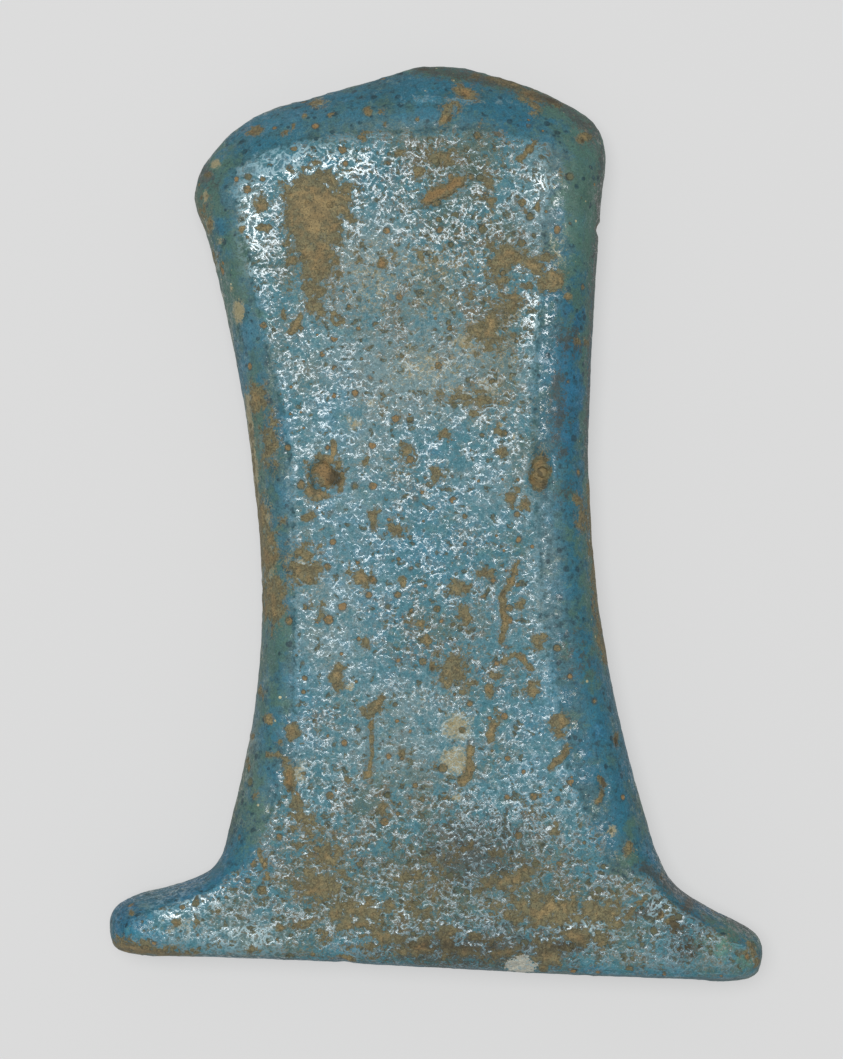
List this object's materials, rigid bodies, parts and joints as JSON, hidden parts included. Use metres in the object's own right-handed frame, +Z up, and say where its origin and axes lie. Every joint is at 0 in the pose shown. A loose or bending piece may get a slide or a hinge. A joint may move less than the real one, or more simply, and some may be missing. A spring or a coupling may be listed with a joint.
{
  "type": "axe amulet",
  "caption": "Small moulded axe-shaped amulet: waisted blade, curved bevelled cutting edge, two hafting lugs at the butt, flat back, worn pitted glaze",
  "frame": {"origin": "on the flat underside, below the middle of the bounding box", "axes": "+Y from the butt to the cutting edge, +X towards the right lug, +Z up out of the face"},
  "size_m": [0.0358, 0.05, 0.006],
  "materials": {
    "glaze": "blue-green glaze, worn, pitted and stained brown"
  },
  "bodies": {
    "root": {"axe_amulet": "glaze"}
  },
  "joints": []
}
